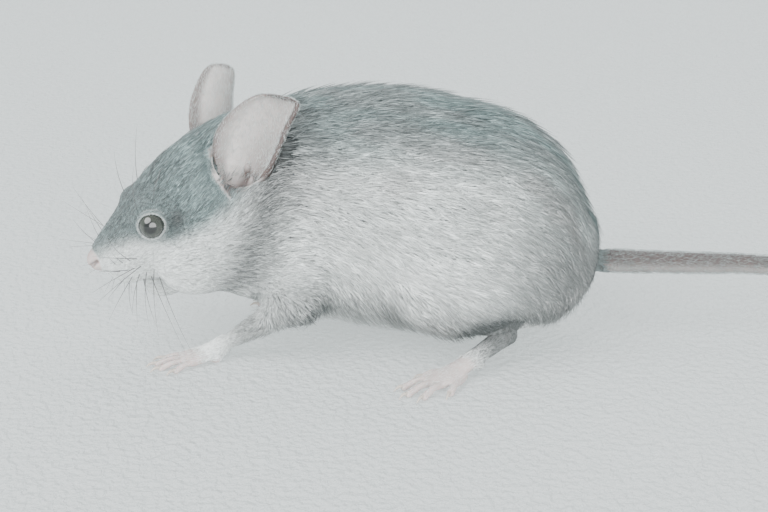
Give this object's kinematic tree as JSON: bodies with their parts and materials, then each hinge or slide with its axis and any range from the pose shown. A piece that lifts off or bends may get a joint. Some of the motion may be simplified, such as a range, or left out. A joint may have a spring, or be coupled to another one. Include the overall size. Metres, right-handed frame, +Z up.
{
  "type": "house mouse",
  "caption": "Life-size still model of a grey house mouse crouching on all fours, head turned a little to its left, tail held out behind.",
  "frame": {"origin": "on the floor, under the middle of the mouse's outline seen from above", "axes": "-Y is where the mouse faces, +Y runs back along the body and tail, +X is its left side, +Z is up"},
  "size_m": [0.044, 0.135, 0.0361],
  "materials": {
    "coat": "matte",
    "bare_skin": "satin",
    "ear_skin": "matte",
    "tail_skin": "matte",
    "eye": "gloss",
    "claw": "satin"
  },
  "bodies": {
    "root": {"head": "coat", "neck": "coat", "trunk": "coat", "lower_jaw": "coat", "nose": "bare_skin", "ear_left": "ear_skin", "ear_right": "ear_skin", "eye_left": "eye", "eye_right": "eye", "foreleg_left": "coat", "foreleg_right": "coat", "hindleg_left": "coat", "hindleg_right": "coat", "forefoot_left": "bare_skin", "forefoot_right": "bare_skin", "hindfoot_left": "bare_skin", "hindfoot_right": "bare_skin", "tail_root": "tail_skin", "tail_middle": "tail_skin", "tail_tip": "tail_skin"}
  },
  "joints": []
}
